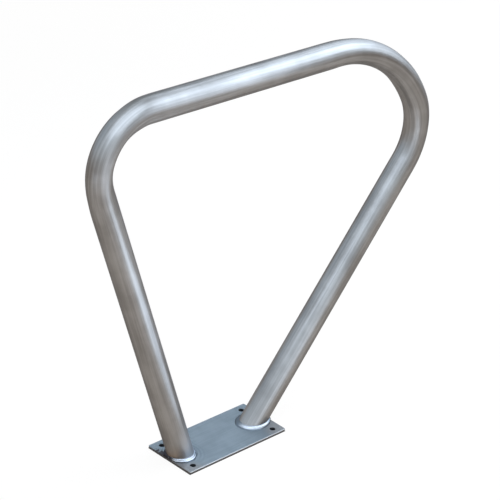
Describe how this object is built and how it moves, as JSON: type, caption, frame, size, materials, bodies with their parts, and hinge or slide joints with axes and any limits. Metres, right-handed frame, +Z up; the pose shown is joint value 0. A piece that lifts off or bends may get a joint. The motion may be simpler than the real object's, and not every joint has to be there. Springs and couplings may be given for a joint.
{
  "type": "bike parking stand",
  "caption": "Bike parking stand: one round tube bent into a lopsided rounded triangle, its two feet welded to a flat base plate with anchor holes.",
  "frame": {"origin": "centre of the underside of the base plate, where it rests on the ground", "axes": "+Z up, +X along the plate and the hoop towards the leg that leans further out, +Y across the plate"},
  "size_m": [0.8257, 0.112, 0.73],
  "materials": {
    "tube_steel": "satin, faintly streaked along the tube, warmer where the heat of the welds reached it",
    "plate_steel": "smooth satin, bluish grey",
    "weld_metal": "bright rippled weld bead"
  },
  "bodies": {
    "root": {"hoop_tube": "tube_steel", "base_plate": "plate_steel", "left_foot_weld": "weld_metal", "right_foot_weld": "weld_metal"}
  },
  "joints": []
}
